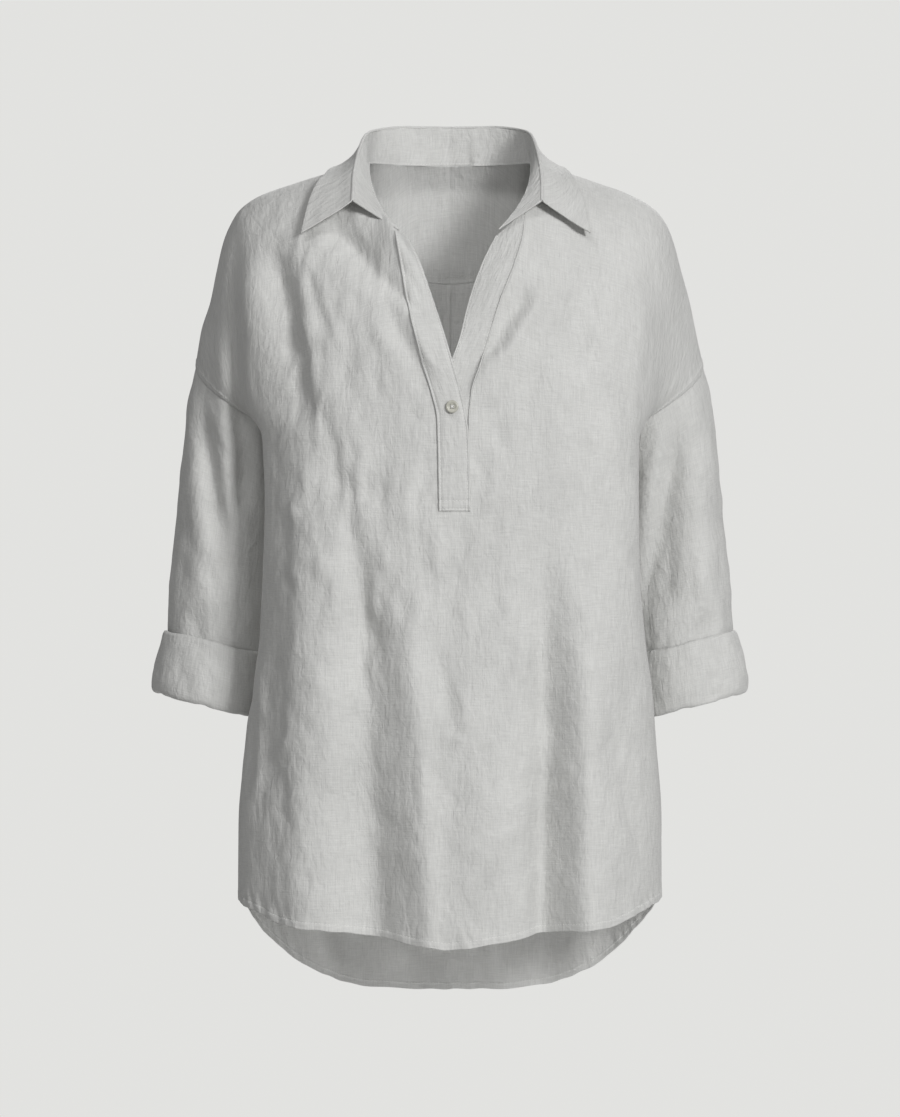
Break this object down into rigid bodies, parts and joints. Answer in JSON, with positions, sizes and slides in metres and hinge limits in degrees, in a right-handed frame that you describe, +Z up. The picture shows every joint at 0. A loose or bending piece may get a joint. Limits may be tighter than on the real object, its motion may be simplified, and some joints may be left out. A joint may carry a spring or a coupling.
{
  "type": "popover blouse",
  "caption": "Linen popover blouse with a half placket closed by a button, an open collar and turned-up elbow sleeves.",
  "frame": {"origin": "middle of the neck opening, level with the seam of the collar, where the wearer's neck holds the blouse up", "axes": "+Z up, -Y out of the front of the blouse, +X to the wearer's left"},
  "size_m": [0.5624, 0.2584, 0.8228],
  "materials": {
    "linen": "matt plain weave with slubs, lightly crumpled",
    "button_resin": "satin"
  },
  "bodies": {
    "root": {"front": "linen", "back": "linen", "yoke": "linen", "collar_stand": "linen", "collar_fall": "linen", "placket_overlap": "linen", "placket_underlap": "linen", "sleeve_right": "linen", "sleeve_left": "linen", "cuff_right": "linen", "cuff_left": "linen", "button": "button_resin"}
  },
  "joints": []
}
